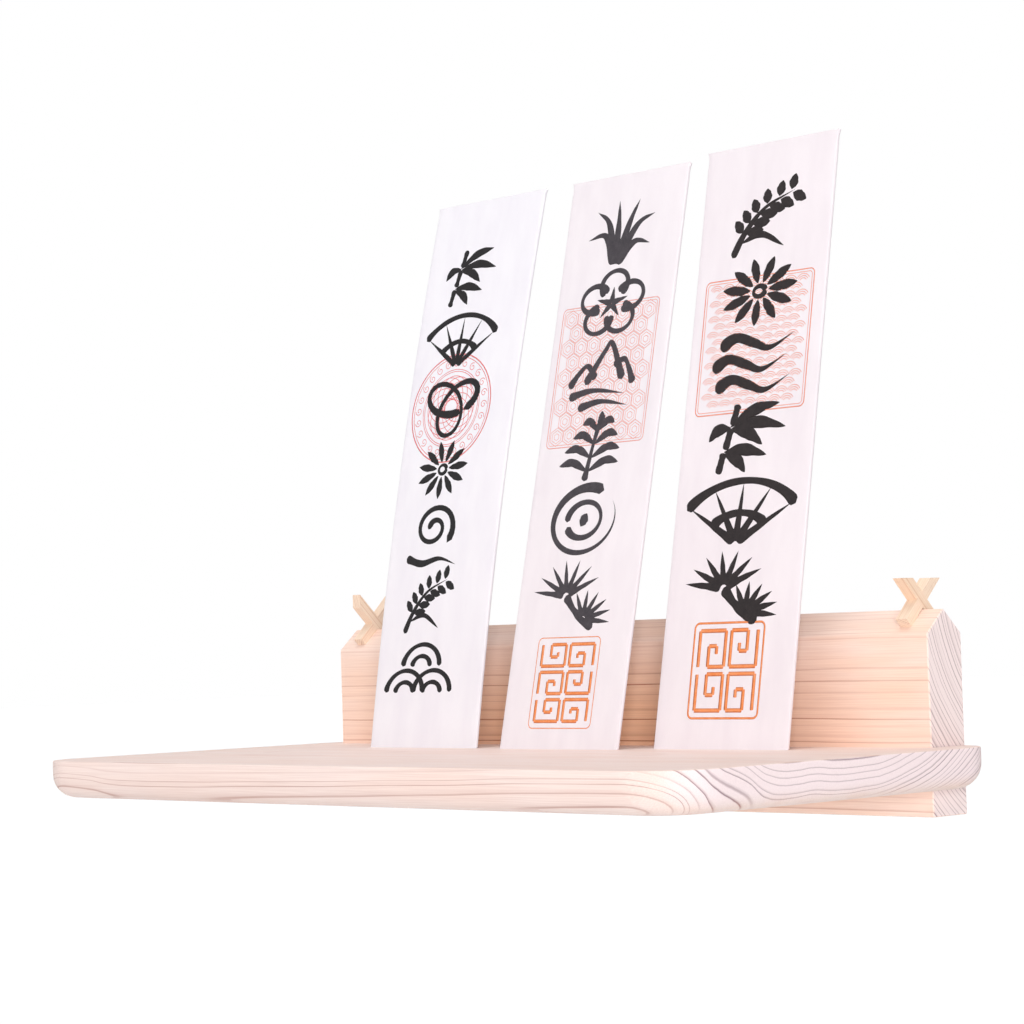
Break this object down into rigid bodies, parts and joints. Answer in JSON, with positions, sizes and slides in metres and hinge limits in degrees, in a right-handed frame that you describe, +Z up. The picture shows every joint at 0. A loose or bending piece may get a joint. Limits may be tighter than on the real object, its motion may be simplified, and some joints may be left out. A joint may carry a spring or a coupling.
{
  "type": "household shrine shelf",
  "caption": "Wall shelf of pale cypress with a house-shaped back board, crossed laths on its ridge, and tall paper-wrapped cards leaning back on it.",
  "frame": {"origin": "on the back board's flat rear face, where it meets the wall, at mid-length and level with the shelf's top", "axes": "+X along the shelf to the right as seen from the room, +Y out of the rear face into the wall, +Z up"},
  "size_m": [0.363, 0.1823, 0.2671],
  "materials": {
    "shelf_wood": "planed, unfinished",
    "back_wood": "planed, unfinished",
    "lath_wood": "planed, unfinished",
    "core_wood": "thin sawn board",
    "left_paper": "thick handmade paper, cool white",
    "middle_paper": "thick handmade paper, warm white",
    "right_paper": "thick handmade paper, warm white",
    "screw_steel": "zinc plated"
  },
  "bodies": {
    "root": {"shelf_board": "shelf_wood", "back_board": "back_wood", "left_front_lath": "lath_wood", "left_rear_lath": "lath_wood", "right_front_lath": "lath_wood", "right_rear_lath": "lath_wood", "left_card_core": "core_wood", "middle_card_core": "core_wood", "right_card_core": "core_wood", "left_card_wrap": "left_paper", "middle_card_wrap": "middle_paper", "right_card_wrap": "right_paper", "left_shelf_screw": "screw_steel", "middle_shelf_screw": "screw_steel", "right_shelf_screw": "screw_steel"}
  },
  "joints": []
}
